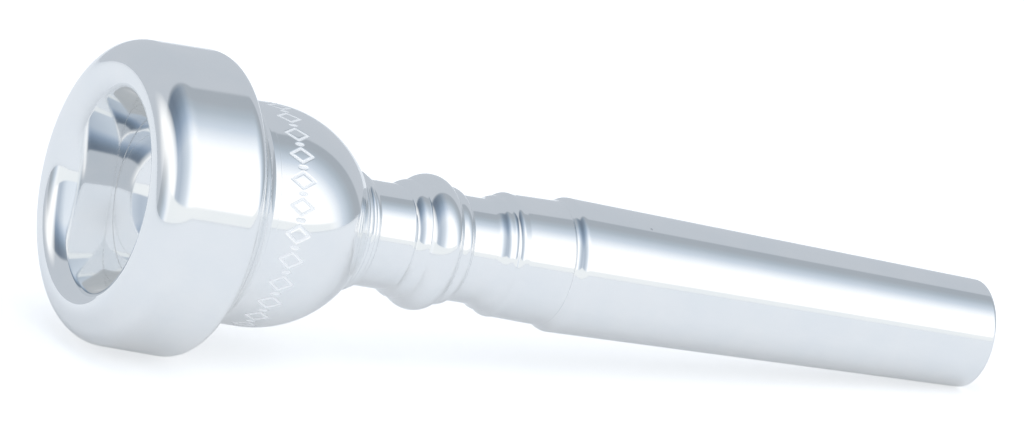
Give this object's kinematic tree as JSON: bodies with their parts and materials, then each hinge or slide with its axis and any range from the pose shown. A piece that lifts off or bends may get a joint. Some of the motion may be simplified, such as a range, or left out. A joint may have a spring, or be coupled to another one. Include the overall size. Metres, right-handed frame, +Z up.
{
  "type": "trumpet mouthpiece",
  "caption": "Silver-plated brass trumpet mouthpiece with screw-off rim and cup, beaded stem and a tapered push-on shank.",
  "frame": {"origin": "centre of the shank's small end, where the air leaves", "axes": "+X along the common axis from the shank's small end to the rim, +Z up with the axis held level as in an instrument"},
  "size_m": [0.0886, 0.0268, 0.0268],
  "materials": {
    "silver_plated_brass": "turned brass, silver plated and mirror polished"
  },
  "bodies": {
    "shank_body": {"shank": "silver_plated_brass"},
    "stem_body": {"stem": "silver_plated_brass"},
    "cup_ring_body": {"cup_ring": "silver_plated_brass"},
    "cup_body": {"cup": "silver_plated_brass"},
    "rim_ring_body": {"rim_ring": "silver_plated_brass"},
    "rim_body": {"rim": "silver_plated_brass"}
  },
  "joints": [
    {"name": "stem_pull", "type": "slide", "parent": "shank_body", "child": "stem_body", "axis": [1, 0, 0], "range_m": [0, 0.016]},
    {"name": "cup_lift", "type": "slide", "parent": "stem_body", "child": "cup_ring_body", "axis": [1, 0, 0], "range_m": [0, 0.005]},
    {"name": "cup_turn", "type": "hinge", "parent": "cup_ring_body", "child": "cup_body", "pos_m": [0, 0, 0], "axis": [1, 0, 0], "range_deg": [0, 1800]},
    {"name": "rim_lift", "type": "slide", "parent": "cup_body", "child": "rim_ring_body", "axis": [1, 0, 0], "range_m": [0, 0.005]},
    {"name": "rim_turn", "type": "hinge", "parent": "rim_ring_body", "child": "rim_body", "pos_m": [0, 0, 0], "axis": [1, 0, 0], "range_deg": [0, 1800]}
  ],
  "couplings": [
    {"joint": "cup_turn", "follows": "cup_lift", "rad_per_m": 6283.2},
    {"joint": "rim_turn", "follows": "rim_lift", "rad_per_m": 6283.2}
  ]
}
